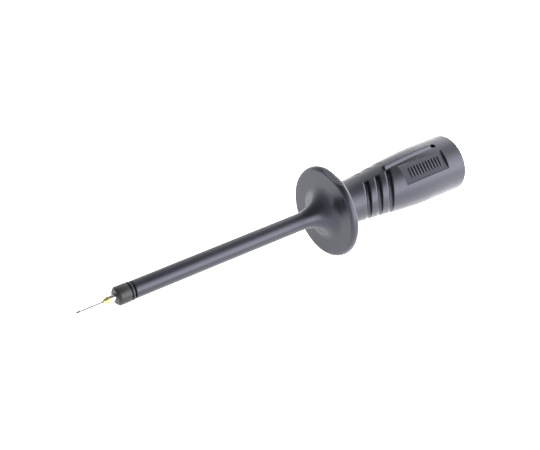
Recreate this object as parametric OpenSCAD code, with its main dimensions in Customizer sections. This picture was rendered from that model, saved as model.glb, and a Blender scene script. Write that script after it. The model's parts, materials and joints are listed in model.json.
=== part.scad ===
// Hand-held needle test probe with a finger guard and a shrouded 4 mm rear socket.
// The probe lies along X: +X runs from the needle to the rear socket, +Z is the top.
// The origin is the centre of the rear socket's mouth.

/* [Handle] */
// Length from the rear face to the back of the finger guard
handle_len = 54; // [48:1:60]
// Radius of the neck behind the guard
neck_r = 7.5; // [7.2:0.1:8]
// Radius of the rear barrel
rear_r = 10.1; // [9.8:0.1:11]
// Distance from the rear face to where the neck reaches the rear radius
taper_end = 13.5; // [12:0.5:15]
// Radius that rounds the rear rim
rim_round = 0.9; // [0.5:0.1:1.2]

/* [Finger grooves] */
// Distance of the rearmost groove's plane from the rear face, on the handle's axis
groove_x = 28.85; // [28.5:0.05:30.5]
// Spacing of the grooves along the handle
groove_pitch = 4.85; // [4.2:0.05:4.9]
// Number of grooves on each side
groove_count = 3; // [1:1:3]
// Radius of the groove's round floor
groove_r = 0.85; // [0.6:0.05:1.1]
// Sweep of a groove from the cross plane, forward at the side
groove_sweep = 28; // [0:1:30]
// Angle from the top to the middle of a set of grooves, towards -Y
groove_centre = 77.5; // [75:0.5:90]
// Depth of a groove at the top
groove_depth = 0.8; // [0.4:0.1:1]
// Offset of the groove floor's circle, which makes a groove deeper at its top end
groove_lift = 0.6; // [0:0.1:0.8]

/* [Label pockets and top rib] */
// Distance of the pocket's flat floor from the probe's axis, at its rear end
pocket_floor = 9.3; // [9:0.05:9.4]
// Angle from the top to the middle of the pocket, towards -Y
pocket_angle = 36.5; // [34:0.5:40]
// Fall of the pocket floor towards the front, which follows the handle's taper
pocket_fall = 2.3; // [1.5:0.1:3]
// Pocket's rear end wall, from the rear face
pocket_rear = 7.5; // [7:0.1:8]
// Pocket's length
pocket_len = 19; // [14:0.5:19.5]
// Pocket's width
pocket_w = 7.3; // [5:0.1:7.4]
// Width of the top rib at its foot
rib_w = 2.2; // [1.6:0.1:2.4]
// Height of the top rib above the handle's surface
rib_h = 1.1; // [0.5:0.05:1.3]
// Length of the top rib
rib_len = 21; // [16:0.5:22]

/* [Finger guard and shaft] */
// Diameter of the guard
guard_d = 32; // [28:0.5:36]
// Thickness of the guard at its rim
guard_t = 3; // [2.9:0.1:3.4]
// Radius that rounds the guard's rim, and how far the rim drops to the front face
guard_round = 1.2; // [0.8:0.1:1.3]
// Length of the rim's longer front rounding, along the axis
guard_nose = 1.6; // [1:0.1:1.6]
// Distance from the axis to the flat on top of the guard
guard_top_flat = 15.15; // [14.9:0.05:15.5]
// Distance from the axis to the small flat under the guard
guard_foot_flat = 15.75; // [15.6:0.05:15.9]
// Turn of both flats from the handle's top, towards -Y
guard_turn = 5; // [0:0.5:6]
// Length of the flare from the shaft to the guard's face
flare_len = 10; // [8:0.5:12]
// Height of that flare
flare_h = 7; // [6:0.5:8]
// Diameter of the insulated shaft
shaft_d = 6; // [5.8:0.1:7]
// Length of the shaft in front of the guard's front face
shaft_len = 76; // [66:1:90]

/* [Rear socket] */
// Diameter of the plug pin that the socket takes
plug_d = 4; // [4:4]
// Depth of the 4 mm bore
plug_depth = 23; // [20:1:24]
// Inner radius of the recess that takes the plug's shroud
shroud_in_r = 3.1; // [3.05:0.05:3.2]
// Outer radius of that recess
shroud_out_r = 4.3; // [4.2:0.05:4.4]
// Depth of the recess
shroud_depth = 26; // [24:1:27]

/* [Tip cartridge] */
// Gap between the shaft and the tip cartridge
cartridge_gap = 0.6; // [0.5:0.1:0.7]
// Radius of the insulating collar
collar_r = 3.15; // [3:0.05:3.3]
// Length of the collar
collar_len = 4.4; // [4:0.1:4.6]
// Length of the plated ferrule in front of the collar
ferrule_len = 2.2; // [2:0.1:2.6]
// Radius of the ferrule
ferrule_r = 1.1; // [1.05:0.05:1.3]
// Length of the conical nose
nose_len = 2.2; // [2:0.1:2.6]
// Radius of the nose at its front
nose_front_r = 0.62; // [0.55:0.01:0.7]
// Radius of the nose at its back
nose_back_r = 1.2; // [1.1:0.05:1.4]
// Radius of the needle
needle_r = 0.21; // [0.18:0.01:0.24]
// Radius of the needle's pointed head
needle_head_r = 0.31; // [0.26:0.01:0.34]
// Length of the needle that stands out of the nose
needle_out = 10.2; // [8:0.1:12]
// Travel of the sprung needle
needle_travel = 4; // [2:0.5:4]
// Nominal radius of the screw thread that holds the cartridge
thread_r = 1.5; // [1.4:0.1:1.6]

/* [Hidden] */
$fn = 64;
fit = 0.05;              // running and assembly clearance, radial
slip = 0.02;             // clearance between pressed or glued neighbours
eps = 0.01;              // overshoot of a cut past a face
block = 20;              // side of a cutting block, larger than the handle's radius
arc_steps = 14;          // points along one formula arc

// Stations along X
guard_back = -handle_len;
guard_front = guard_back - guard_t;
shaft_front = guard_front - shaft_len;
ring_back = shaft_front - cartridge_gap;
ring_len = 0.7;
notch_len = 0.6;
collar_back = ring_back - ring_len - notch_len;
collar_front = collar_back - collar_len;
ferrule_front = collar_front - ferrule_len;
nose_front = ferrule_front - nose_len;
needle_tip = nose_front - needle_out;

// Core of the main moulding, inside the handle
core_r = 5.0;
core_back = -35.5;
core_rib_r = 5.7;
core_ribs = [-51, -46, -41];
core_rib_w = 1.4;

// Conductor rod and its seal
rod_r = 1.0;
rod_back = -29.5;
seal_wire_r = 0.55;
seal_x = -36.3;

// A groove is cut off by a plane this far from the axis, turned this much from its middle
groove_gap = 2.4;
groove_end_turn = -7.5;

// Raised bars on a pocket's floor
bar_count = 11;
bar_pitch = 1.3;
bar_start = 2.6;
bar_len = 3.6;
bar_w = 0.5;
bar_h = 0.35;

// Socket insulator, contact and its fixings
cup_r = 5.2;
cup_base = 3;
cup_bottom = -shroud_depth - cup_base - 1;
sleeve_bore_r = 2.5;
mouth_r = plug_d / 2 + fit;   // lip that covers the contact's mouth
contact_r = 2.45;
contact_front = -shroud_depth - 1;
contact_back = -1.8;
neck_contact_r = 1.85;
contact_end = -34.5;
slot_w = 0.6;
slot_len = 10;
snap_x = -9;
snap_w = 1;
snap_r = 2.2;
snap_gap = 0.7;
washer_t = 0.6;
washer_r = 3.2;
nut_t = 2.2;
nut_r = 3.2;
chamber_r = 3.6;
chamber_front = core_back;

// The top rib stops in front of the latch pin's hole
rib_back = -10.2;
rib_front = rib_back - rib_len;
rib_top_w = 0.5;
rib_foot = 0.5;
rib_steps = 14;

// Latch pin that locks the socket insulator
latch_x = -8.6;
latch_r = 0.95;
latch_top = 8.6;
latch_seat = 0.35;

// Front bush and tip cartridge
bush_r = 2.1;
bush_len = 11;
bush_wall = 1.6;
bush_recess = 0.3;
bush_relief = 0.4;
hub_r = 2.0;
hub_front = collar_front + 0.95;
notch_depth = 0.5;
shank_len = 6.5;
barrel_r = 0.72;
barrel_bore_r = 0.55;
nose_wall = 0.9;
head_r = 0.5;
head_len = 1.4;
ball_r = 0.45;
plug_len = 1.6;
gap_seal_r = 0.24;

// Spring behind the needle: travel, closed coils and some length to spare
wire_r = 0.08;
coil_r = 0.38;
coils = 16;
spring_spare = 6.29;
head_front = nose_front + nose_wall + fit;
spring_front = head_front + head_len + 2 * ball_r;
spring_back = spring_front + needle_travel + coils * 2 * wire_r + spring_spare;
barrel_back = spring_back + plug_len;

// Smooth 0 to 1 blend
function ease(u) = u <= 0 ? 0 : u >= 1 ? 1 : u * u * (3 - 2 * u);

// Radius of the handle at a station x
taper_start = -handle_len + 3.5;
function handle_r(x) =
    neck_r + (rear_r - neck_r) * ease((x - taper_start) / (-taper_end - taper_start));

// Turn a profile drawn as [x, r] about the X axis
module spin(points) {
    rotate([0, 90, 0]) rotate([0, 0, 90]) rotate_extrude()
        polygon([for (p = points) [p[1], p[0]]]);
}

// Solid round bar along X
module bar(x0, x1, r) {
    translate([x0, 0, 0]) rotate([0, 90, 0]) cylinder(h = x1 - x0, r = r);
}

// Tube along X
module tube(x0, x1, r_out, r_in) {
    difference() {
        bar(x0, x1, r_out);
        bar(x0 - eps, x1 + eps, r_in);
    }
}

// Core of the main moulding, grown by a clearance for its socket in the handle
module core(grow) {
    bar(guard_back - 1, core_back + grow, core_r + grow);
    for (x = core_ribs)
        bar(x - core_rib_w / 2 - grow, x + core_rib_w / 2 + grow, core_rib_r + grow);
}

// Shaft, flare and guard in one profile
module shaft_and_guard() {
    r = shaft_d / 2;
    flare_start = guard_front - flare_len;
    spin(concat(
        [[shaft_front, 0], [shaft_front, r - 0.25], [shaft_front + 0.25, r]],
        [for (i = [0 : arc_steps]) let (a = 90 * i / arc_steps)
            [flare_start + flare_len * sin(a), r + flare_h * (1 - cos(a))]],
        [for (i = [0 : arc_steps]) let (a = 90 * i / arc_steps)
            [guard_front + guard_nose * (1 - cos(a)), guard_d / 2 - guard_round * (1 - sin(a))]],
        [for (i = [0 : arc_steps]) let (a = 90 * i / arc_steps)
            [guard_back - guard_round * (1 - sin(a)), guard_d / 2 - guard_round * (1 - cos(a))]],
        [[guard_back, 0]]
    ));
}

module body_moulding() {
    color([0.16, 0.17, 0.19]) difference() {
        union() {
            shaft_and_guard();
            core(0);
        }
        // Flats on the guard's rim
        rotate([guard_turn, 0, 0]) translate([guard_front - 1, -guard_d / 2, 0]) {
            translate([0, 0, guard_top_flat]) cube([guard_t + 2, guard_d, guard_d]);
            translate([0, 0, -guard_foot_flat - guard_d]) cube([guard_t + 2, guard_d, guard_d]);
        }
        // Way for the rod, the front bush and the rear seal
        bar(shaft_front - eps, core_back + eps, rod_r + fit);
        bar(shaft_front - eps, shaft_front + bush_len + bush_relief, bush_r + slip);
        bar(seal_x - 2 * seal_wire_r, core_back + eps, rod_r + 2 * seal_wire_r);
    }
}

// Outside of the handle, turned
module handle_outside() {
    n = 40;
    r_last = handle_r(-rim_round);
    spin(concat(
        [[guard_back, 0]],
        [for (i = [0 : n]) let (x = guard_back + (handle_len - rim_round) * i / n)
            [x, handle_r(x)]],
        [for (i = [1 : arc_steps]) let (a = 90 * i / arc_steps)
            [-rim_round * (1 - sin(a)), r_last - rim_round * (1 - cos(a))]],
        [[0, 0]]
    ));
}

// Rib along the top, with sloping sides, that follows the handle's taper
module top_rib() {
    stations = [for (i = [0 : rib_steps]) rib_front + rib_len * i / rib_steps];
    points = [for (x = stations) let (foot = handle_r(x) - rib_foot, top = handle_r(x) + rib_h)
        each [[x, -rib_w / 2, foot], [x, -rib_w / 2, foot + rib_foot / 2],
              [x, -rib_top_w / 2, top], [x, rib_top_w / 2, top],
              [x, rib_w / 2, foot + rib_foot / 2], [x, rib_w / 2, foot]]];
    sides = [for (i = [0 : rib_steps - 1]) for (k = [0 : 5]) let (a = 6 * i, b = (k + 1) % 6)
        [a + k, a + b, a + b + 6, a + k + 6]];
    ends = [[5, 4, 3, 2, 1, 0], [for (k = [0 : 5]) 6 * rib_steps + k]];
    polyhedron(points = points, faces = concat(sides, ends));
}

// One swept finger groove, in the set that faces -Y
module finger_groove(x_axis) {
    floor_r = handle_r(x_axis) - groove_depth + groove_r;
    reach = 4;
    rotate([groove_centre - 90, 0, 0]) intersection() {
        translate([x_axis, 0, 0]) rotate([0, 0, -groove_sweep])
            translate([0, 0, -groove_lift]) rotate([0, 90, 0]) rotate_extrude() union() {
                translate([floor_r, 0]) circle(r = groove_r, $fn = 32);
                translate([floor_r, -groove_r]) square([reach, 2 * groove_r]);
            }
        rotate([groove_end_turn, 0, 0]) translate([x_axis - block, -groove_gap - block, -block])
            cube([2 * block, block, 2 * block]);
    }
}

// Puts its children on the pocket's floor, at the foot of the rear end wall
module pocket_frame() {
    rotate([pocket_angle, 0, 0]) translate([-pocket_rear, 0, pocket_floor])
        rotate([0, -pocket_fall, 0]) children();
}

// Label pocket: a flat floor with square walls
module label_pocket() {
    pocket_frame() translate([-pocket_len, -pocket_w / 2, 0]) cube([pocket_len, pocket_w, block]);
}

// Plain raised bars on the pocket's floor
module label_bars() {
    pocket_frame() for (i = [0 : bar_count - 1])
        translate([-bar_start - bar_pitch * i, -bar_len / 2, -bar_h])
            cube([bar_w, bar_len, 2 * bar_h]);
}

// Grooves and a label pocket are on one side, and again half a turn round
module handle_shell() {
    color([0.2, 0.21, 0.23]) difference() {
        union() {
            difference() {
                handle_outside();
                for (turn = [0, 180])
                    rotate([turn, 0, 0]) {
                        for (i = [0 : groove_count - 1])
                            finger_groove(-groove_x - groove_pitch * i);
                        label_pocket();
                    }
            }
            for (turn = [0, 180])
                rotate([turn, 0, 0]) label_bars();
            top_rib();
        }
        core(slip);
        bar(chamber_front - 1, cup_bottom + 1, chamber_r);
        bar(cup_bottom - slip, eps, cup_r + slip);
        translate([latch_x, 0, 0]) cylinder(h = block, r = latch_r + slip);
    }
}

module socket_insulator() {
    color([0.13, 0.13, 0.15]) difference() {
        bar(cup_bottom, 0, cup_r);
        // Ring-shaped recess for the shroud of a safety plug
        difference() {
            bar(-shroud_depth, eps, shroud_out_r);
            bar(-shroud_depth - eps, 1, shroud_in_r);
        }
        bar(contact_front - slip, contact_back + slip, sleeve_bore_r);
        bar(contact_back, eps, mouth_r);
        bar(cup_bottom - eps, -shroud_depth, neck_contact_r + fit);
        // Blind seat for the latch pin
        translate([latch_x, 0, cup_r - latch_seat]) cylinder(h = block, r = latch_r + slip);
    }
}

module socket_contact() {
    color([0.86, 0.78, 0.55]) difference() {
        union() {
            bar(contact_front, contact_back, contact_r);
            bar(contact_end, contact_front + eps, neck_contact_r);
        }
        bar(contact_back - plug_depth, 1, plug_d / 2);
        // Slots that let the mouth grip the plug pin
        translate([contact_back - slot_len, -block / 2, -slot_w / 2])
            cube([slot_len + 1, block, slot_w]);
        // Groove for the snap ring
        tube(snap_x, snap_x + snap_w, contact_r + 1, snap_r);
        bar(contact_end - eps, rod_back + fit, rod_r + slip);
    }
}

// Split spring ring that closes the slotted contact
module contact_snap_ring() {
    color([0.7, 0.7, 0.72]) difference() {
        tube(snap_x + fit, snap_x + snap_w - fit, contact_r, snap_r + slip);
        translate([snap_x - 1, -snap_gap / 2, 0]) cube([snap_w + 2, snap_gap, block]);
    }
}

module contact_washer() {
    color([0.72, 0.72, 0.74])
        tube(cup_bottom - washer_t, cup_bottom, washer_r, neck_contact_r + fit);
}

module contact_nut() {
    x1 = cup_bottom - washer_t;
    color([0.8, 0.7, 0.42]) difference() {
        translate([x1 - nut_t, 0, 0]) rotate([0, 90, 0]) cylinder(h = nut_t, r = nut_r, $fn = 6);
        bar(x1 - nut_t - eps, x1 + eps, neck_contact_r + slip);
    }
}

module latch_pin() {
    color([0.05, 0.05, 0.06])
        translate([latch_x, 0, cup_r - latch_seat + slip])
            cylinder(h = latch_top - cup_r + latch_seat - slip, r = latch_r);
}

module conductor_rod() {
    color([0.82, 0.68, 0.38]) bar(shaft_front + bush_len - bush_wall, rod_back, rod_r);
}

// O-ring that seals the rod where it leaves the core
module rod_seal() {
    color([0.1, 0.1, 0.1]) translate([seal_x, 0, 0]) rotate([0, 90, 0])
        rotate_extrude() translate([rod_r + seal_wire_r, 0])
            circle(r = seal_wire_r - slip, $fn = 32);
}

// Threaded bush that carries the cartridge, pressed on the rod's end
module front_bush() {
    color([0.85, 0.72, 0.42]) difference() {
        bar(shaft_front + bush_recess, shaft_front + bush_len, bush_r);
        bar(shaft_front, shaft_front + bush_len - bush_wall, thread_r);
        bar(shaft_front, shaft_front + bush_len + 1, rod_r + slip);
    }
}

// O-ring that closes the gap between the cartridge and the shaft
module tip_seal() {
    color([0.03, 0.03, 0.03]) translate([ring_back + cartridge_gap / 2, 0, 0]) rotate([0, 90, 0])
        rotate_extrude() translate([bush_r + fit, 0]) circle(r = gap_seal_r, $fn = 32);
}

module collar_ring() {
    r = collar_r - 0.05;
    edge = 0.12;
    color([0.14, 0.14, 0.15]) difference() {
        spin([
            [ring_back - ring_len, 0], [ring_back - ring_len, r - edge],
            [ring_back - ring_len + edge, r], [ring_back - edge, r], [ring_back, r - edge],
            [ring_back, 0]
        ]);
        bar(ring_back - ring_len - 1, ring_back + 1, hub_r + slip);
    }
}

module tip_collar() {
    chamfer = 0.72;
    edge = 0.15;
    front_wall = 0.9;
    color([0.15, 0.15, 0.16]) difference() {
        union() {
            spin([
                [collar_front, 0], [collar_front, collar_r - chamfer],
                [collar_front + chamfer, collar_r], [collar_back - edge, collar_r],
                [collar_back, collar_r - edge], [collar_back, 0]
            ]);
            bar(collar_back - eps, collar_back + notch_len, collar_r - notch_depth);
        }
        bar(collar_front - 1, collar_back, ferrule_r + slip);
        bar(collar_front + front_wall, collar_back + notch_len + 1, hub_r + slip);
    }
}

// Plated holder: ferrule in front, hub inside the collar, screwed shank behind
module tip_holder() {
    color([0.88, 0.88, 0.87]) difference() {
        union() {
            bar(ferrule_front + slip, hub_front, ferrule_r);
            bar(hub_front, ring_back, hub_r);
            bar(ring_back - eps, ring_back + shank_len, thread_r - fit);
        }
        bar(ferrule_front - 1, ring_back + shank_len + 1, barrel_r + slip);
    }
}

// Gold-plated barrel with its conical nose
module spring_barrel() {
    color([0.93, 0.76, 0.35]) difference() {
        spin([
            [nose_front, 0], [nose_front, nose_front_r - 0.08], [nose_front + 0.08, nose_front_r],
            [ferrule_front - 0.3, nose_back_r], [ferrule_front, nose_back_r],
            [ferrule_front, barrel_r], [barrel_back, barrel_r], [barrel_back, 0]
        ]);
        bar(nose_front - 1, barrel_back + 1, needle_r + fit);
        bar(nose_front + nose_wall, barrel_back + 1, barrel_bore_r);
    }
}

module barrel_plug() {
    color([0.85, 0.72, 0.42])
        bar(barrel_back - plug_len, barrel_back, barrel_bore_r - slip);
}

// Helical spring drawn as a stack of wire rings
module needle_spring() {
    pitch = (spring_back - spring_front - 2 * wire_r) / (coils - 1);
    color([0.75, 0.75, 0.78])
        for (i = [0 : coils - 1])
            translate([spring_front + wire_r + pitch * i, 0, 0]) rotate([0, 90, 0])
                rotate_extrude($fn = 32) translate([coil_r, 0]) circle(r = wire_r, $fn = 16);
}

module bias_ball() {
    color([0.8, 0.8, 0.82])
        translate([spring_front - ball_r, 0, 0]) sphere(r = ball_r - slip, $fn = 32);
}

// Needle with its pointed tip, and the head that slides in the barrel
module needle_plunger() {
    point_len = 1.3;
    tip_len = 1.9;
    color([0.6, 0.6, 0.62]) spin([
        [needle_tip, 0], [needle_tip + 0.05, 0.03], [needle_tip + point_len, needle_head_r],
        [needle_tip + tip_len, needle_head_r], [needle_tip + tip_len + 0.2, needle_r],
        [head_front, needle_r], [head_front, head_r], [head_front + head_len, head_r],
        [head_front + head_len, 0]
    ]);
}

body_moulding();
handle_shell();
socket_insulator();
socket_contact();
contact_snap_ring();
contact_washer();
contact_nut();
latch_pin();
conductor_rod();
rod_seal();
front_bush();
tip_seal();
collar_ring();
tip_collar();
tip_holder();
spring_barrel();
barrel_plug();
needle_spring();
bias_ball();
needle_plunger();
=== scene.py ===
import json
import math

import bpy
import bmesh
import numpy as np
from mathutils import Matrix, Vector


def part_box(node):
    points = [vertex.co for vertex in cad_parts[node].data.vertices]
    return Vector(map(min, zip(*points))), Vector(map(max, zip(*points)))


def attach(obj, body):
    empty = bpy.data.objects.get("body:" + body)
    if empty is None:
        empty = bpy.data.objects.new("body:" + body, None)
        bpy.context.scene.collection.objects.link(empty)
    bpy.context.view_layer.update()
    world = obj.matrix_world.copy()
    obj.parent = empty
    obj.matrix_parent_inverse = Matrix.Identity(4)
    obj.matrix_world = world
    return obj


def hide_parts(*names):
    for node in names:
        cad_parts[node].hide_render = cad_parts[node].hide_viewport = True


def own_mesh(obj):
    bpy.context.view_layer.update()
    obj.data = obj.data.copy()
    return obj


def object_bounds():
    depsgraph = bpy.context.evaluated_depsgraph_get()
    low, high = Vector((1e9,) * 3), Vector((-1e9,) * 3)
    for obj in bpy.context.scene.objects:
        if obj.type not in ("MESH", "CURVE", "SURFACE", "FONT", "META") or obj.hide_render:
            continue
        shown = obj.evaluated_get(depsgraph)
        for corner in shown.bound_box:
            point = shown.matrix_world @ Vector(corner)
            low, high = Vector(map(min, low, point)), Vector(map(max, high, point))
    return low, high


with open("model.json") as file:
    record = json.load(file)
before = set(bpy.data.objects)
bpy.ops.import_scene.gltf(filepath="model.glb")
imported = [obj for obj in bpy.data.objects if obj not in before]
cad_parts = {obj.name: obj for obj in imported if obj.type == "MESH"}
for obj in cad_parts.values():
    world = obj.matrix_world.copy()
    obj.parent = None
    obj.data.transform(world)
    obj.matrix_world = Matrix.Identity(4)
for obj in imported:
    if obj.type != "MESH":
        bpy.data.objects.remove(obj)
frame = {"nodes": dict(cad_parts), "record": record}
cad_low, cad_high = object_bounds()

# The probe lies along X, needle at -X, rear socket at X = 0, top at +Z.
# Lengths below are in millimetres; MM turns them into Blender's metres.
MM = 0.001

# ---------------------------------------------------------------- camera
VIEW_AZIMUTH = -39.63      # degrees, 0 looks along +Y
VIEW_ELEVATION = 37.12
VIEW_ROLL = 4.585
VIEW_DISTANCE = 475.0
FOCAL_LENGTH = 93.33       # on a 36 mm wide sensor
AIM_OFFSET = Vector((4.68, 8.95, -4.72))


def add_camera():
    centre = (Vector(cad_low) + Vector(cad_high)) / 2 / MM
    azimuth, elevation = math.radians(VIEW_AZIMUTH), math.radians(VIEW_ELEVATION)
    back = Vector((
        math.sin(azimuth) * math.cos(elevation),
        -math.cos(azimuth) * math.cos(elevation),
        math.sin(elevation),
    ))
    level = Vector((0, 0, 1)).cross(back).normalized()
    right = Matrix.Rotation(math.radians(VIEW_ROLL), 3, back) @ level
    up = back.cross(right)
    data = bpy.data.cameras.new("camera")
    data.lens = FOCAL_LENGTH
    data.sensor_width = 36
    data.clip_start = 0.01
    camera = bpy.data.objects.new("camera", data)
    bpy.context.scene.collection.objects.link(camera)
    place = Matrix((right, up, back)).transposed().to_4x4()
    place.translation = (centre + AIM_OFFSET + VIEW_DISTANCE * back) * MM
    camera.matrix_world = place
    bpy.context.scene.camera = camera


add_camera()


# ---------------------------------------------------------------- places from the frame
def span(node):
    """A CAD node's lowest and highest corner, in millimetres."""
    low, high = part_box(node)
    return low / MM, high / MM


HANDLE_LOW, HANDLE_HIGH = span("handle_shell")
BODY_LOW, BODY_HIGH = span("body_moulding")
CUP_LOW, CUP_HIGH = span("socket_insulator")
CONTACT_HIGH = span("socket_contact")[1]
BUSH_LOW, BUSH_HIGH = span("front_bush")
RING_LOW, RING_HIGH = span("collar_ring")
COLLAR_LOW, COLLAR_HIGH = span("tip_collar")
HOLDER_LOW, HOLDER_HIGH = span("tip_holder")
BARREL_LOW, BARREL_HIGH = span("spring_barrel")
NEEDLE_LOW, NEEDLE_HIGH = span("needle_plunger")
SPRING_LOW, SPRING_HIGH = span("needle_spring")
BALL_LOW, BALL_HIGH = span("bias_ball")
PIN_LOW, PIN_HIGH = span("latch_pin")

# Handle, as the part's own driving dimensions
REAR_R = HANDLE_HIGH.y
NECK_R = 7.5
HANDLE_FRONT = HANDLE_LOW.x
HANDLE_REAR = HANDLE_HIGH.x
TAPER_START = HANDLE_FRONT + 3.5
TAPER_END = HANDLE_REAR - 13.5
RIM_ROUND = 0.9

# Finger grooves: planes that cross the axis at GROOVE_X and sweep forward at the side
GROOVE_X = -28.85
GROOVE_PITCH = 4.85
GROOVE_COUNT = 3
GROOVE_SWEEP = math.radians(28)
GROOVE_CENTRE = math.radians(77.5)
GROOVE_DEPTH = 0.8
GROOVE_R = 0.85
GROOVE_LIFT = 0.6
GROOVE_GAP = 2.4
GROOVE_END_TURN = math.radians(-7.5)

# Label pockets, each a flat floor that falls towards the front, with plain raised bars
POCKET_FLOOR = 9.3
POCKET_ANGLE = math.radians(36.5)
POCKET_FALL = math.radians(2.3)
POCKET_REAR = -7.5
POCKET_LEN = 19.0
POCKET_HALF = 3.65
BAR_COUNT = 11
BAR_PITCH = 1.3
BAR_START = 2.35
BAR_LEN = 3.6
BAR_W = 0.5
BAR_H = 0.35

# Top rib and latch hole
RIB_FRONT = -31.2
RIB_BACK = -10.2
RIB_HALF = 1.1
RIB_H = 1.1
LATCH_X = (PIN_LOW.x + PIN_HIGH.x) / 2
LATCH_R = PIN_HIGH.y

# Guard and shaft
GUARD_R = BODY_HIGH.y
GUARD_T = 3.0
GUARD_BACK = HANDLE_FRONT
GUARD_FRONT = GUARD_BACK - GUARD_T
GUARD_ROUND = 1.2
GUARD_NOSE = 1.6
GUARD_TOP = 15.15
GUARD_FOOT = 15.75
GUARD_TURN = math.radians(5)
FLARE_LEN = 10.0
FLARE_H = 7.0
SHAFT_R = 3.0
SHAFT_FRONT = BODY_LOW.x


# ---------------------------------------------------------------- mesh tools
def ease(u):
    """0 to 1 with level ends, for numbers and arrays."""
    u = np.clip(u, 0.0, 1.0)
    return u * u * (3 - 2 * u)


def ramp(low, high, value):
    return ease((value - low) / (high - low))


def rounded(corners, steps=5):
    """An outline through (x, r, fillet radius) corners, with each fillet as an arc."""
    points = [Vector((c[0], c[1])) for c in corners]
    fillets = [c[2] if len(c) > 2 else 0 for c in corners]
    outline = []
    for i, point in enumerate(points):
        if fillets[i] == 0 or i in (0, len(points) - 1):
            outline.append((point.x, point.y))
            continue
        to_last, to_next = points[i - 1] - point, points[i + 1] - point
        half = to_last.angle(to_next) / 2
        u, v = to_last.normalized(), to_next.normalized()
        longest = 0.49 * min(to_last.length, to_next.length)
        reach = min(fillets[i] / math.tan(half), longest)
        radius = reach * math.tan(half)
        centre = point + (u + v).normalized() * radius / math.sin(half)
        start, end = point + u * reach - centre, point + v * reach - centre
        turn = start.angle_signed(end)
        for k in range(steps + 1):
            spoke = Matrix.Rotation(-turn * k / steps, 2) @ start
            outline.append((centre.x + spoke.x, centre.y + spoke.y))
    return outline


def link(name, mesh, sharp=math.radians(38)):
    """A mesh as an object, shaded smooth except along its sharp edges."""
    work = bmesh.new()
    work.from_mesh(mesh)
    bmesh.ops.recalc_face_normals(work, faces=work.faces)
    for face in work.faces:
        face.smooth = True
    for edge in work.edges:
        edge.smooth = not (edge.is_manifold and edge.calc_face_angle(0) > sharp)
    work.to_mesh(mesh)
    work.free()
    piece = bpy.data.objects.new(name, mesh)
    bpy.context.scene.collection.objects.link(piece)
    return piece


def grid_skin(name, points, closed, sharp=math.radians(38)):
    """A closed skin from a grid of points, stations by turns.

    A closed skin's last station joins its first; an open one ends in a point at each end."""
    stations, turns = points.shape[:2]
    index = np.arange(stations * turns).reshape(stations, turns)
    rows = index if closed else index[:-1]
    after = np.roll(index, -1, axis=0) if closed else index[1:]
    quads = np.stack(
        [rows, np.roll(rows, -1, axis=1), np.roll(after, -1, axis=1), after], axis=2
    ).reshape(-1, 4)
    faces = quads.tolist()
    flat = points.reshape(-1, 3)
    if not closed:
        tips = len(flat)
        flat = np.vstack([flat, points[0].mean(axis=0), points[-1].mean(axis=0)])
        for tip, ring in ((tips, index[0]), (tips + 1, index[-1])):
            faces += [[tip, int(a), int(b)] for a, b in zip(ring, np.roll(ring, -1))]
    mesh = bpy.data.meshes.new(name)
    mesh.from_pydata((flat * MM).tolist(), [], faces)
    return link(name, mesh, sharp)


def round_x(x, r, phi):
    """Points at a station, a radius and an angle from the top, towards -Y."""
    return np.stack(np.broadcast_arrays(x, -r * np.sin(phi), r * np.cos(phi)), axis=-1)


def skin(name, x, r, closed, sharp=math.radians(38)):
    """A skin round the X axis from grids of x and r, evenly spaced in angle."""
    phi = np.linspace(0, 2 * math.pi, r.shape[1], endpoint=False)[None, :]
    return grid_skin(name, round_x(x, r, phi), closed, sharp)


def turned(name, outline, turns=96, closed=True):
    """A turned piece from an outline of (x, r)."""
    stations = np.array(outline, float)
    x = np.repeat(stations[:, :1], turns, axis=1)
    r = np.repeat(stations[:, 1:2], turns, axis=1)
    return skin(name, x, r, closed)


def stations_between(start, end, step, extra=()):
    """Even stations from start to end, with extra ones where a wall needs them."""
    count = max(2, int(round(abs(end - start) / step)) + 1)
    values = list(np.linspace(start, end, count))
    low, high = min(start, end), max(start, end)
    values += [v for v in extra if low < v < high]
    return sorted(set(np.round(values, 4)), reverse=end < start)


def station_grid(start, end, step, turns):
    """Even stations, each repeated once for every turn."""
    return np.array(stations_between(start, end, step))[:, None] * np.ones((1, turns))


def level_ring(x, r, turns):
    """One ring of a skin, at a fixed station and radius."""
    return np.full((1, turns), float(x)), np.full((1, turns), float(r))


def screw(x, phi, pitch):
    """0 at a thread's root and 1 at its crest, on a right-hand helix along X."""
    along = (x / pitch - phi / (2 * math.pi)) % 1.0
    return np.clip(1.25 * (1 - np.abs(2 * along - 1)) - 0.12, 0, 1)


def put(piece, body, nodes, material):
    """A finished piece rides on its body, stands for its CAD nodes and takes its finish."""
    piece.data.materials.clear()
    piece.data.materials.append(material)
    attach(piece, body)
    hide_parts(*nodes)
    return piece


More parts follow.
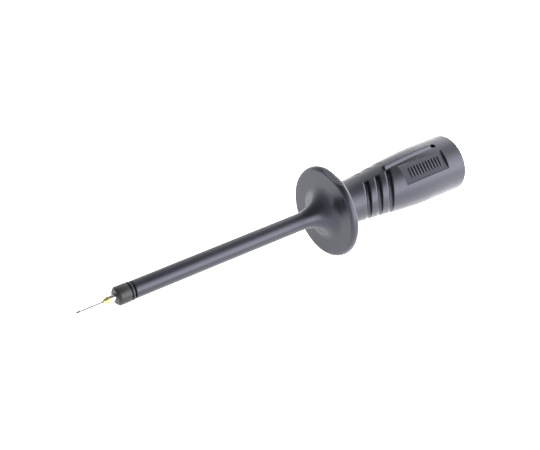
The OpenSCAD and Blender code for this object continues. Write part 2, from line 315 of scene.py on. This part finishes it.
# ---------------------------------------------------------------- materials
class Graph:
    """A short way to write a material's nodes."""

    def __init__(self, name):
        self.material = bpy.data.materials.new(name)
        self.material.use_nodes = True
        self.tree = self.material.node_tree
        self.shader = self.tree.nodes["Principled BSDF"]
        self.place = self.node("ShaderNodeTexCoord").outputs["Object"]

    def node(self, kind, **settings):
        made = self.tree.nodes.new(kind)
        for key, value in settings.items():
            if key in made.inputs:
                made.inputs[key].default_value = value
            else:
                setattr(made, key, value)
        return made

    def join(self, source, target):
        self.tree.links.new(source, target)

    def set(self, **values):
        for key, value in values.items():
            self.shader.inputs[key.replace("_", " ")].default_value = value

    def noise(self, scale, detail=4.0, roughness=0.55, stretch=None):
        made = self.node("ShaderNodeTexNoise", Scale=scale, Detail=detail, Roughness=roughness)
        source = self.place
        if stretch:
            mapping = self.node("ShaderNodeMapping")
            mapping.inputs["Scale"].default_value = stretch
            self.join(self.place, mapping.inputs["Vector"])
            source = mapping.outputs["Vector"]
        self.join(source, made.inputs["Vector"])
        return made.outputs["Fac"]

    def band(self, source, low, high, low_in=0.3, high_in=0.7):
        made = self.node("ShaderNodeMapRange")
        limits = {"From Min": low_in, "From Max": high_in, "To Min": low, "To Max": high}
        for key, value in limits.items():
            made.inputs[key].default_value = value
        self.join(source, made.inputs["Value"])
        return made.outputs["Result"]

    def colours(self, source, stops):
        made = self.node("ShaderNodeValToRGB")
        elements = made.color_ramp.elements
        while len(elements) < len(stops):
            elements.new(0.5)
        for element, (at, colour) in zip(elements, stops):
            element.position = at
            element.color = (*colour, 1)
        self.join(source, made.inputs["Fac"])
        self.join(made.outputs["Color"], self.shader.inputs["Base Color"])

    def bump(self, source, strength, distance, below=None):
        made = self.node("ShaderNodeBump", Strength=strength, Distance=distance)
        self.join(source, made.inputs["Height"])
        if below is not None:
            self.join(below, made.inputs["Normal"])
        self.join(made.outputs["Normal"], self.shader.inputs["Normal"])
        return made.outputs["Normal"]


def shade(colour, factor):
    return tuple(c * factor for c in colour)


def plastic(name, colour, roughness, grain, grain_height, tint=(0.79, 0.82, 1.0)):
    """Satin moulded plastic: spark-eroded grain, slow tone drift and uneven gloss."""
    g = Graph(name)
    drift = g.noise(60, detail=3)
    g.colours(drift, [(0.25, shade(colour, 0.86)), (0.75, shade(colour, 1.16))])
    gloss = g.noise(260, detail=5, roughness=0.6)
    g.join(g.band(gloss, roughness - 0.04, roughness + 0.05), g.shader.inputs["Roughness"])
    flow = g.bump(g.noise(140, detail=2), 0.10, 0.0001)
    g.bump(g.noise(grain, detail=3, roughness=0.7), 0.5, grain_height, flow)
    g.set(IOR=1.55, Specular_Tint=(*tint, 1))
    return g.material


def metal(name, colour, roughness, tarnish=0.82):
    """Turned metal: fine rings of the cutting tool round X, and a little tarnish."""
    g = Graph(name)
    rings = g.noise(1.0, detail=4, stretch=(26000, 500, 500))
    stain = g.noise(700, detail=4)
    g.colours(stain, [(0.3, shade(colour, tarnish)), (0.62, colour)])
    g.join(g.band(stain, roughness + 0.07, roughness - 0.03), g.shader.inputs["Roughness"])
    g.bump(rings, 0.25, 0.000004)
    g.set(Metallic=1.0)
    return g.material


def rubber(name, colour):
    g = Graph(name)
    dust = g.noise(2400, detail=5, roughness=0.7)
    g.colours(dust, [(0.35, colour), (0.8, shade(colour, 1.7))])
    g.join(g.band(dust, 0.62, 0.8), g.shader.inputs["Roughness"])
    g.bump(dust, 0.3, 0.00001)
    g.set(Specular_IOR_Level=0.35)
    return g.material


BODY_PLASTIC = plastic("body_plastic", (0.0050, 0.0050, 0.0068), 0.30, 9000, 0.000005)
GRIP_PLASTIC = plastic("handle_plastic", (0.0050, 0.0050, 0.0068), 0.32, 7000, 0.000007)
INSULATOR_PLASTIC = plastic("insulator_plastic", (0.006, 0.006, 0.0065), 0.34, 12000, 0.000004)
COLLAR_PLASTIC = plastic(
    "collar_plastic", (0.0060, 0.0060, 0.0060), 0.40, 12000, 0.000004, tint=(0.65, 0.65, 0.65)
)
SEAL_RUBBER = rubber("seal_rubber", (0.004, 0.004, 0.0045))
GOLD = metal("gold_plate", (0.52, 0.45, 0.19), 0.20)
BRASS = metal("brass", (0.50, 0.36, 0.16), 0.28)
NICKEL = metal("nickel_plate", (0.40, 0.40, 0.39), 0.18, tarnish=0.85)
STEEL = metal("steel", (0.30, 0.30, 0.31), 0.25)
NEEDLE_STEEL = metal("needle_steel", (0.07, 0.07, 0.072), 0.30)
MATERIALS = {
    "body_plastic": BODY_PLASTIC, "handle_plastic": GRIP_PLASTIC,
    "insulator_plastic": INSULATOR_PLASTIC, "collar_plastic": COLLAR_PLASTIC,
    "seal_rubber": SEAL_RUBBER, "gold_plate": GOLD, "brass": BRASS,
    "nickel_plate": NICKEL, "steel": STEEL, "needle_steel": NEEDLE_STEEL,
}


# ---------------------------------------------------------------- handle
def handle_r(x):
    return NECK_R + (REAR_R - NECK_R) * ease((x - TAPER_START) / (TAPER_END - TAPER_START))


def groove_shift(s):
    """How far forward a groove's plane lies at a distance s from its middle plane."""
    away = np.abs(s)
    near = 0.6
    return math.tan(GROOVE_SWEEP) * np.where(away > near, away, away * away / (2 * near) + near / 2)


def groove_weight(u):
    """1 where the mesh lines follow the grooves, 0 where they are square to the axis."""
    last = GROOVE_X - GROOVE_PITCH * (GROOVE_COUNT - 1)
    return ramp(last - 12.0, last - 2.3, u) * (1 - ramp(GROOVE_X + 1.35, GROOVE_X + 2.3, u))


def cut_groove(points, plane_x, turn):
    """Presses one swept groove into the handle's points, within the groove's own plane."""
    c = GROOVE_CENTRE + turn
    x, y, z = points[..., 0] - plane_x, points[..., 1], points[..., 2]
    s, t = z * math.cos(c) - y * math.sin(c), -y * math.cos(c) - z * math.sin(c)
    off = x * math.cos(GROOVE_SWEEP) + s * math.sin(GROOVE_SWEEP)
    along = s * math.cos(GROOVE_SWEEP) - x * math.sin(GROOVE_SWEEP)
    low = t - GROOVE_LIFT
    reach = np.hypot(along, low)
    kept = s * math.cos(GROOVE_END_TURN) - t * math.sin(GROOVE_END_TURN) > GROOVE_GAP
    floor_r = handle_r(plane_x) - GROOVE_DEPTH + GROOVE_R
    section = np.sqrt(np.clip(GROOVE_R ** 2 - off ** 2, 0, None))
    soft_edge = 0.22 * (1 - np.clip((np.abs(off) - GROOVE_R) / 0.45, 0, 1)) ** 2
    inside = (np.abs(off) < GROOVE_R) & kept & (reach > floor_r - section)
    rim = (np.abs(off) >= GROOVE_R - 1e-6) & kept & (reach > floor_r)
    new_reach = np.where(inside, floor_r - section, np.where(rim, reach - soft_edge, reach))
    along, t = along * new_reach / reach, low * new_reach / reach + GROOVE_LIFT
    x = off * math.cos(GROOVE_SWEEP) - along * math.sin(GROOVE_SWEEP)
    s = off * math.sin(GROOVE_SWEEP) + along * math.cos(GROOVE_SWEEP)
    y = -s * math.sin(c) - t * math.cos(c)
    z = s * math.cos(c) - t * math.sin(c)
    moved = np.stack([x + plane_x, y, z], axis=-1)
    return np.where((new_reach < reach - 1e-9)[..., None], moved, points)


def pocket_depth(x, r, phi, turn):
    """How far the handle's surface is lowered by one label pocket."""
    lean = np.cos(phi - POCKET_ANGLE - turn)
    across = r * np.sin(phi - POCKET_ANGLE - turn)
    floor = POCKET_FLOOR + math.tan(POCKET_FALL) * (x - POCKET_REAR)
    front = POCKET_REAR - POCKET_LEN
    inside = ramp(front - 0.06, front + 0.04, x)
    inside = inside * (1 - ramp(POCKET_REAR - 0.04, POCKET_REAR + 0.06, x))
    inside = inside * (1 - ramp(POCKET_HALF - 0.04, POCKET_HALF + 0.06, np.abs(across)))
    return np.clip(r - floor / np.clip(lean, 0.5, 1), 0, None) * inside * (lean > 0.5)


def latch_depth(x, y, z):
    """How far the handle's surface is lowered by the latch pin's hole."""
    rim = np.hypot(x - LATCH_X, y)
    return 2.2 * (1 - ramp(LATCH_R - 0.03, LATCH_R + 0.1, rim)) * (z > 0)


def handle_stations():
    """Places along the handle, closer together at walls and edges."""
    end = HANDLE_REAR - RIM_ROUND
    places = list(np.linspace(HANDLE_FRONT + 0.25, GROOVE_X - GROOVE_PITCH * 2 - 1.9, 26))
    offsets = (0, 0.3, 0.55, 0.7, 0.79, 0.835, 0.865, 0.91, 0.98, 1.06, 1.16, 1.3, 1.6)
    for i in range(GROOVE_COUNT):
        plane = GROOVE_X - GROOVE_PITCH * i
        places += [plane + way * o / math.cos(GROOVE_SWEEP) for o in offsets for way in (-1, 1)]
    places += list(np.linspace(GROOVE_X + 1.35, GROOVE_X + 2.3, 16))
    places += list(np.linspace(GROOVE_X + 2.3, end, 100))
    for wall in (POCKET_REAR, POCKET_REAR - POCKET_LEN):
        places += [wall + o for o in (-0.12, -0.06, -0.03, 0.0, 0.03, 0.06, 0.12)]
    places += list(np.arange(LATCH_X - LATCH_R - 0.3, LATCH_X + LATCH_R + 0.3, 0.08))
    places = sorted(places)
    return np.array([p for i, p in enumerate(places) if i == 0 or p - places[i - 1] > 0.012])


def handle_turns():
    """Angles round the handle in degrees, closer together at walls and edges."""
    angles = list(np.arange(0, 360, 1.0)) + list(np.arange(-9, 9, 0.4))
    for turn in (0, 180):
        angles += [turn + a for a in np.arange(12.5, 16.5, 0.3)]
        angles += [turn + a for a in np.arange(56.5, 60.5, 0.3)]
        angles += [turn + a for a in np.arange(-8, -1, 0.3)]
        angles += [turn + a for a in np.arange(141, 148, 0.3)]
    angles = sorted(a % 360 for a in angles)
    kept = [a for i, a in enumerate(angles) if i == 0 or a - angles[i - 1] > 0.12]
    return np.radians(kept)


def handle_outside(phi):
    """The handle's outer points: turned taper, pockets, latch hole, then the grooves."""
    u = handle_stations()[:, None]
    x = u * np.ones_like(phi)
    for _ in range(3):
        s = handle_r(x) * np.cos(phi - GROOVE_CENTRE)
        x = u - groove_weight(u) * groove_shift(s)
    r = handle_r(x)
    drop = latch_depth(x, -r * np.sin(phi), r * np.cos(phi))
    for turn in (0, math.pi):
        drop = drop + pocket_depth(x, r, phi, turn)
    points = round_x(x, r - drop, phi)
    for turn in (0, math.pi):
        for i in range(GROOVE_COUNT):
            points = cut_groove(points, GROOVE_X - GROOVE_PITCH * i, turn)
    return points


def add_handle():
    phi = handle_turns()[None, :]
    last = float(handle_r(HANDLE_REAR - RIM_ROUND))
    rim = rounded([(HANDLE_REAR - RIM_ROUND, last), (HANDLE_REAR, last, RIM_ROUND),
                   (HANDLE_REAR, last - 2 * RIM_ROUND)], 8)[1:]
    cup_r, core_r, chamber_r = CUP_HIGH.y + 0.02, 5.02, 3.6
    inside = rounded([
        (HANDLE_REAR, last - 2 * RIM_ROUND), (HANDLE_REAR, cup_r, 0.3),
        (CUP_LOW.x - 0.02, cup_r), (CUP_LOW.x - 0.02, chamber_r), (BODY_HIGH.x, chamber_r),
        (BODY_HIGH.x, core_r), (HANDLE_FRONT, core_r), (HANDLE_FRONT, NECK_R - 0.25),
    ])[1:]
    tail = np.array(rim + inside)
    points = np.vstack([handle_outside(phi), round_x(tail[:, :1], tail[:, 1:2], phi)])
    piece = grid_skin("grip_moulding", points, True)
    put(piece, "handle", ["handle_shell"], GRIP_PLASTIC)


def add_rib():
    """The rib on top: a rounded ridge with sloping sides and nearly square ends."""
    across = np.array([-1.16, -1.12, -1.06, -0.95, -0.62, -0.36, -0.22, -0.08,
                       0.08, 0.22, 0.36, 0.62, 0.95, 1.06, 1.12, 1.16]) * RIB_HALF
    rise = np.array([-1.0, -0.25, -0.03, 0.09, 0.55, 0.86, 0.97, 1.0,
                     1.0, 0.97, 0.86, 0.55, 0.09, -0.03, -0.25, -1.0]) * RIB_H
    x = np.array(stations_between(RIB_FRONT, RIB_BACK, 0.5))
    x = np.concatenate([[RIB_FRONT, RIB_FRONT + 0.03, RIB_FRONT + 0.1, RIB_FRONT + 0.22], x[1:-1],
                        [RIB_BACK - 0.22, RIB_BACK - 0.1, RIB_BACK - 0.03, RIB_BACK]])
    from_end = np.minimum(x - RIB_FRONT, RIB_BACK - x)
    draw_in = 0.12 * (1 - np.sqrt(np.clip(1 - (1 - np.clip(from_end / 0.22, 0, 1)) ** 2, 0, 1)))
    y = across[None, :] * (1 - draw_in[:, None])
    z = handle_r(x)[:, None] + rise[None, :] - draw_in[:, None] * (rise[None, :] > 0)
    z = z - y * y / (2 * handle_r(x)[:, None]) * (rise[None, :] < 0.5)
    points = np.stack(np.broadcast_arrays(x[:, None], y, z), axis=-1)
    piece = grid_skin("top_rib", points, False)
    put(piece, "handle", ["handle_shell"], GRIP_PLASTIC)


def add_label_bars(name, turn):
    """Plain raised bars on a pocket's floor, in place of a moulded label."""
    work = bmesh.new()
    for i in range(BAR_COUNT):
        made = bmesh.ops.create_cube(work, size=1)["verts"]
        bmesh.ops.scale(work, vec=(BAR_W, BAR_LEN, 2 * BAR_H), verts=made)
        bmesh.ops.translate(work, vec=(-BAR_START - BAR_PITCH * i, 0, 0), verts=made)
    bmesh.ops.bevel(work, geom=work.edges[:], offset=0.09, segments=3, profile=0.5, affect="EDGES")
    lay = Matrix.Rotation(-POCKET_FALL, 4, "Y")
    lift = Matrix.Translation((POCKET_REAR, 0, POCKET_FLOOR))
    swing = Matrix.Rotation(POCKET_ANGLE + turn, 4, "X")
    work.transform(Matrix.Scale(MM, 4) @ swing @ lift @ lay)
    mesh = bpy.data.meshes.new(name)
    work.to_mesh(mesh)
    work.free()
    put(link(name, mesh), "handle", ["handle_shell"], GRIP_PLASTIC)


# ---------------------------------------------------------------- shaft and guard
def guard_surface(x, r, phi):
    """Cuts the guard's two flats into its rim, with plain ticks on the top one."""
    phi = phi - GUARD_TURN
    up = np.clip(np.cos(phi), 0.2, 1)
    down = np.clip(-np.cos(phi), 0.2, 1)
    top, foot = GUARD_TOP / up, GUARD_FOOT / down
    flat = np.minimum(top, foot)
    soft = 0.5 * (r + flat - np.sqrt((r - flat) ** 2 + 0.01))
    y = GUARD_TOP * np.tan(np.clip(phi_signed(phi), -0.6, 0.6))
    tick = (np.abs(y) / 1.3 + 0.5) % 1.0
    tick = np.minimum(tick, 1 - tick) * 1.3
    tick = np.abs(0.65 - tick)
    raised = (1 - ramp(0.2, 0.32, tick)) * (np.abs(y) < 3.9) * (np.cos(phi) > 0.5)
    middle = (GUARD_FRONT + GUARD_BACK) / 2 + 0.35
    raised = raised * (1 - ramp(0.55, 0.67, np.abs(x - middle)))
    return np.where(r > GUARD_TOP - 1.5, soft + 0.12 * raised, r)


def phi_signed(phi):
    return (phi + math.pi) % (2 * math.pi) - math.pi


def add_body():
    turns = 560
    flare_start = GUARD_FRONT - FLARE_LEN
    bush_r, bush_end, rod_r = 2.12, BUSH_HIGH.x + 0.4, 1.05
    seal_seat, seal_r, core_r = -37.4, 2.1, 5.0
    shaft = [(x, SHAFT_R) for x in stations_between(SHAFT_FRONT + 0.6, flare_start - 0.5, 4)]
    flare = [
        (flare_start + FLARE_LEN * math.sin(a), SHAFT_R + FLARE_H * (1 - math.cos(a)))
        for a in np.radians(np.linspace(0, 90, 30))
    ]
    front_rim, back_rim = GUARD_FRONT + GUARD_NOSE, GUARD_BACK - GUARD_ROUND
    face = [(GUARD_FRONT, r) for r in (10.6, 11.4, 12.2, 13.0)]
    rim = [
        (front_rim - GUARD_NOSE * math.cos(a), GUARD_R - GUARD_ROUND * (1 - math.sin(a)))
        for a in np.radians(np.linspace(0, 90, 31))
    ]
    rim += [(x, GUARD_R) for x in stations_between(front_rim, back_rim, 0.04)[1:-1]]
    rim += [
        (back_rim + GUARD_ROUND * math.sin(a), GUARD_R - GUARD_ROUND * (1 - math.cos(a)))
        for a in np.radians(np.linspace(0, 90, 17))
    ]
    back = rounded([
        (GUARD_BACK, 14.0), (GUARD_BACK, core_r, 0.2), (BODY_HIGH.x, core_r, 0.2),
        (BODY_HIGH.x, seal_r, 0.1), (seal_seat, seal_r), (seal_seat, rod_r), (bush_end, rod_r),
        (bush_end, bush_r), (SHAFT_FRONT, bush_r, 0.12), (SHAFT_FRONT, SHAFT_R, 0.25),
        (SHAFT_FRONT + 0.6, SHAFT_R),
    ], 4)[:-1]
    outline = np.array(shaft + flare + face + rim + back)
    phi = np.linspace(0, 2 * math.pi, turns, endpoint=False)[None, :]
    x = np.repeat(outline[:, :1], turns, axis=1)
    r = np.repeat(outline[:, 1:2], turns, axis=1)
    r = np.where((x <= GUARD_BACK + 0.01) & (x >= GUARD_FRONT - 0.01), guard_surface(x, r, phi), r)
    piece = skin("shaft_and_guard", x, r, True)
    put(piece, "handle", ["body_moulding"], BODY_PLASTIC)


# ---------------------------------------------------------------- rear socket
def add_socket():
    cup_r, recess_r, sleeve_r = CUP_HIGH.y, 4.3, 3.1
    bottom, recess_end = CUP_LOW.x, -26.0
    mouth, contact_front, lip_r, bore_r = CONTACT_HIGH.x, -27.02, 2.05, 2.5
    neck_r = 1.9
    cup = turned("socket_insulator_moulding", rounded([
        (bottom, neck_r), (bottom, cup_r, 0.25), (0, cup_r, 0.25), (0, recess_r, 0.2),
        (recess_end, recess_r, 0.3), (recess_end, sleeve_r, 0.3), (0, sleeve_r, 0.22),
        (0, lip_r, 0.22), (mouth, lip_r), (mouth, bore_r), (contact_front, bore_r),
        (contact_front, neck_r), (bottom + 0.1, neck_r),
    ]), 128)
    put(cup, "handle", ["socket_insulator"], INSULATOR_PLASTIC)

    low = PIN_LOW.z
    pin = turned("latch_pin_domed", rounded([
        (low, 0.001), (low, LATCH_R, 0.1), (PIN_HIGH.z, LATCH_R, 0.3), (PIN_HIGH.z, 0.001),
    ]), 48, closed=False)
    upright = Matrix.Rotation(-math.pi / 2, 4, "Y")
    pin.data.transform(Matrix.Translation(Vector((LATCH_X, 0, 0)) * MM) @ upright)
    put(pin, "handle", ["latch_pin"], INSULATOR_PLASTIC)


def add_bush():
    """The threaded bush: knurled outside, screw thread inside."""
    turns = 96
    phi = np.linspace(0, 2 * math.pi, turns, endpoint=False)[None, :]
    wall_x, rod_r, mouth_r = BUSH_HIGH.x - 1.6, 1.02, 1.75
    inside = station_grid(wall_x, BUSH_LOW.x + 0.3, 0.06, turns)
    r_in = 1.5 + 0.22 * screw(inside, phi, 0.5)
    outside = station_grid(BUSH_LOW.x + 0.2, BUSH_HIGH.x - 0.2, 0.5, turns)
    knurl = 0.05 * (np.cos(phi * 32) > 0)
    r_out = BUSH_HIGH.y - 0.05 + knurl * np.ones_like(outside)
    rim_r = BUSH_HIGH.y - 0.2
    pieces = [
        (outside, r_out),
        level_ring(BUSH_HIGH.x, rim_r, turns),
        level_ring(BUSH_HIGH.x, rod_r, turns),
        level_ring(wall_x, rod_r, turns),
        (inside, r_in),
        level_ring(BUSH_LOW.x, mouth_r, turns),
        level_ring(BUSH_LOW.x, rim_r, turns),
    ]
    x = np.vstack([p[0] for p in pieces])
    r = np.vstack([p[1] for p in pieces])
    piece = skin("front_bush_threaded", x, r, True)
    put(piece, "handle", ["front_bush"], BRASS)


# ---------------------------------------------------------------- tip cartridge
def add_cartridge():
    hub_r, ferrule_r = 2.0, 1.1
    collar_r, collar_front = COLLAR_HIGH.y, COLLAR_LOW.x
    notch_back = COLLAR_HIGH.x
    collar_back = notch_back - 0.6
    collar = turned("tip_collar_turned", rounded([
        (notch_back, hub_r + 0.02), (collar_front + 0.9, hub_r + 0.02),
        (collar_front + 0.9, ferrule_r + 0.02),
        (collar_front, ferrule_r + 0.02, 0.06), (collar_front, collar_r - 0.72, 0.12),
        (collar_front + 0.72, collar_r, 0.15), (collar_back, collar_r, 0.14),
        (collar_back, collar_r - 0.5, 0.05), (notch_back, collar_r - 0.5), (notch_back, hub_r + 0.1),
    ]), 128)
    put(collar, "cartridge", ["tip_collar"], COLLAR_PLASTIC)

    ring_r = RING_HIGH.y
    ring = turned("collar_ring_turned", rounded([
        (RING_LOW.x + 0.1, hub_r + 0.02), (RING_LOW.x, hub_r + 0.1), (RING_LOW.x, ring_r, 0.16),
        (RING_HIGH.x, ring_r, 0.16), (RING_HIGH.x, hub_r + 0.02), (RING_LOW.x + 0.2, hub_r + 0.02),
    ]), 128)
    put(ring, "cartridge", ["collar_ring"], COLLAR_PLASTIC)

    turns = 96
    phi = np.linspace(0, 2 * math.pi, turns, endpoint=False)[None, :]
    bore = 0.74
    hub_front, hub_back, shank_end = collar_front + 0.95, RING_HIGH.x, HOLDER_HIGH.x
    front = rounded([
        (HOLDER_LOW.x + 0.1, bore), (HOLDER_LOW.x, bore + 0.05), (HOLDER_LOW.x, ferrule_r, 0.08),
        (hub_front, ferrule_r, 0.05), (hub_front, hub_r, 0.05), (hub_back, hub_r, 0.05),
        (hub_back, 1.2), (hub_back + 0.3, 1.18),
    ])
    thread_x = station_grid(hub_back + 0.35, shank_end - 0.3, 0.045, turns)
    thread_r = 1.2 + 0.25 * screw(thread_x, phi, 0.5)
    tail = [(shank_end, 1.15), (shank_end, bore + 0.05), (shank_end - 0.1, bore)]
    front, tail = np.array(front), np.array(tail)
    x = np.vstack([np.repeat(front[:, :1], turns, 1), thread_x, np.repeat(tail[:, :1], turns, 1)])
    r = np.vstack([np.repeat(front[:, 1:], turns, 1), thread_r, np.repeat(tail[:, 1:], turns, 1)])
    holder = skin("tip_holder_threaded", x, r, True)
    put(holder, "cartridge", ["tip_holder"], NICKEL)

    nose_front, nose_back = BARREL_LOW.x, HOLDER_LOW.x - 0.02
    bore_front, needle_bore, bore_r, tube_r = nose_front + 0.9, 0.26, 0.55, 0.72
    barrel = turned("spring_barrel_turned", rounded([
        (BARREL_HIGH.x, bore_r + 0.03), (bore_front, bore_r, 0.03), (bore_front, needle_bore, 0.03),
        (nose_front + 0.05, needle_bore), (nose_front, needle_bore + 0.05), (nose_front, 0.6, 0.09),
        (nose_front + 0.35, 0.66, 0.2), (nose_back - 0.42, 1.19, 0.12), (nose_back, 1.19, 0.1),
        (nose_back, tube_r, 0.04), (BARREL_HIGH.x - 0.25, tube_r, 0.05),
        (BARREL_HIGH.x, tube_r - 0.1, 0.04),
        (BARREL_HIGH.x, bore_r + 0.05),
    ]), 96)
    put(barrel, "cartridge", ["spring_barrel"], GOLD)


def add_spring():
    """The coil spring in the barrel. The real one shortens as the needle is pushed in; this coil keeps
    one length.
    """
    coils, wire, coil_r, steps, sides = 16, 0.08, 0.38, 448, 8
    start, end = SPRING_LOW.x + wire, SPRING_HIGH.x - wire
    a = 2 * math.pi * coils * np.linspace(0, 1, steps)[:, None]
    lead = (end - start) / (2 * math.pi * coils)
    centre = np.stack([start + lead * a, coil_r * np.sin(a), coil_r * np.cos(a)], axis=-1)
    outward = np.stack([0 * a, np.sin(a), np.cos(a)], axis=-1)
    tangent = np.stack([lead + 0 * a, coil_r * np.cos(a), -coil_r * np.sin(a)], axis=-1)
    tangent = tangent / np.linalg.norm(tangent, axis=-1, keepdims=True)
    sideways = np.cross(tangent, outward)
    turn = np.linspace(0, 2 * math.pi, sides, endpoint=False)[None, :, None]
    points = centre + wire * (np.cos(turn) * outward + np.sin(turn) * sideways)
    coil = grid_skin("needle_spring_coil", points, False, math.radians(80))
    put(coil, "cartridge", ["needle_spring"], STEEL)
    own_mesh(coil)


def add_ball():
    """The ball between the spring and the needle's head."""
    centre, ball_r = (BALL_LOW.x + BALL_HIGH.x) / 2, (BALL_HIGH.x - BALL_LOW.x) / 2
    arc = [
        (centre - ball_r * math.cos(a), ball_r * math.sin(a))
        for a in np.linspace(0.01, math.pi - 0.01, 33)
    ]
    ball = turned("bias_ball_round", arc, 48, closed=False)
    put(ball, "needle", ["bias_ball"], STEEL)


def add_needle():
    tip, head_back = NEEDLE_LOW.x, NEEDLE_HIGH.x
    head_front = head_back - 1.4
    thin, point, head = 0.21, 0.31, 0.5
    needle = turned("needle_plunger_ground", rounded([
        (tip, 0.004), (tip + 0.06, 0.03), (tip + 1.3, point, 0.25), (tip + 1.9, point, 0.1),
        (tip + 2.12, thin, 0.1), (head_front, thin, 0.05), (head_front, head, 0.06),
        (head_back, head, 0.06), (head_back, 0.004),
    ]), 48, closed=False)
    put(needle, "needle", ["needle_plunger"], NEEDLE_STEEL)


def finish_cad_nodes():
    """CAD nodes that show as they are get their slot's material."""
    slots = {s["node"]: s["material_slot"] for s in frame["record"]["subparts"]}
    for name, node in frame["nodes"].items():
        node.data.materials.clear()
        node.data.materials.append(MATERIALS[slots[name]])


# ---------------------------------------------------------------- stage
def add_stage():
    size = 6.0
    mesh = bpy.data.meshes.new("floor")
    low = cad_low[2] - 0.0005
    corners = [(-size, -size, low), (size, -size, low), (size, size, low), (-size, size, low)]
    mesh.from_pydata(corners, [], [(0, 1, 2, 3)])
    floor = bpy.data.objects.new("floor", mesh)
    bpy.context.scene.collection.objects.link(floor)
    g = Graph("floor_white_painted_glow")
    dust = g.noise(40, detail=3)
    g.colours(dust, [(0.3, (0.90, 0.90, 0.90)), (0.7, (0.93, 0.93, 0.93))])
    # Painted light: the floor glows with emission 0.4 on the side away from BRIGHT_SIDE and 2.4 towards
    # it. This is a painted light falloff, and it also lifts the shadow under the probe.
    across = g.node("ShaderNodeVectorMath", operation="DOT_PRODUCT")
    across.inputs[1].default_value = BRIGHT_SIDE
    g.join(g.place, across.inputs[0])
    g.join(g.band(across.outputs["Value"], 0.4, 2.4, -0.16, 0.08), g.shader.inputs["Emission Strength"])
    g.set(Roughness=0.9, Specular_IOR_Level=0.0, Emission_Color=(1, 1, 1, 1))
    floor.data.materials.append(g.material)


def sky_stops(tree, height, stops):
    """Brightness of the sky by height, as a share of SKY_PEAK."""
    made = tree.nodes.new("ShaderNodeValToRGB")
    elements = made.color_ramp.elements
    while len(elements) < len(stops):
        elements.new(0.5)
    for element, (at, level) in zip(elements, stops):
        element.position = at
        element.color = (level / SKY_PEAK, level / SKY_PEAK, level / SKY_PEAK, 1)
    tree.links.new(height, made.inputs["Fac"])
    return made.outputs["Color"]


# A light tent: a wide bright wall low on the right, dark on the left and overhead
SKY_PEAK = 7.0
SKY_BRIGHT = [
    (0.0, 7.0), (0.25, 7.0), (0.4, 6.6), (0.54, 5.4),
    (0.65, 4.6), (0.74, 1.9), (0.85, 0.6), (1.0, 0.4),
]
SKY_DARK = [(0.0, 1.4), (0.3, 1.1), (0.6, 0.8), (0.8, 0.5), (1.0, 0.4)]
BRIGHT_SIDE = (0.85, -0.53, 0)


def add_light_tent():
    bpy.context.scene.view_settings.view_transform = "Standard"
    world = bpy.data.worlds.new("studio")
    bpy.context.scene.world = world
    world.use_nodes = True
    tree = world.node_tree
    background = tree.nodes["Background"]
    direction = tree.nodes.new("ShaderNodeTexCoord").outputs["Generated"]
    split = tree.nodes.new("ShaderNodeSeparateXYZ")
    tree.links.new(direction, split.inputs["Vector"])
    bright = sky_stops(tree, split.outputs["Z"], SKY_BRIGHT)
    dark = sky_stops(tree, split.outputs["Z"], SKY_DARK)
    facing = tree.nodes.new("ShaderNodeVectorMath")
    facing.operation = "DOT_PRODUCT"
    facing.inputs[1].default_value = BRIGHT_SIDE
    tree.links.new(direction, facing.inputs[0])
    share = tree.nodes.new("ShaderNodeMapRange")
    share.interpolation_type = "SMOOTHSTEP"
    for key, value in (("From Min", -0.15), ("From Max", 0.6)):
        share.inputs[key].default_value = value
    tree.links.new(facing.outputs["Value"], share.inputs["Value"])
    mix = tree.nodes.new("ShaderNodeMix")
    mix.data_type = "RGBA"
    tree.links.new(share.outputs["Result"], mix.inputs["Factor"])
    tree.links.new(dark, mix.inputs[6])
    tree.links.new(bright, mix.inputs[7])
    tree.links.new(mix.outputs[2], background.inputs["Color"])
    background.inputs["Strength"].default_value = SKY_PEAK


finish_cad_nodes()
add_handle()
add_rib()
add_label_bars("label_bars_near", 0)
add_label_bars("label_bars_far", math.pi)
add_body()
add_socket()
add_bush()
add_cartridge()
add_spring()
add_ball()
add_needle()
add_stage()
add_light_tent()
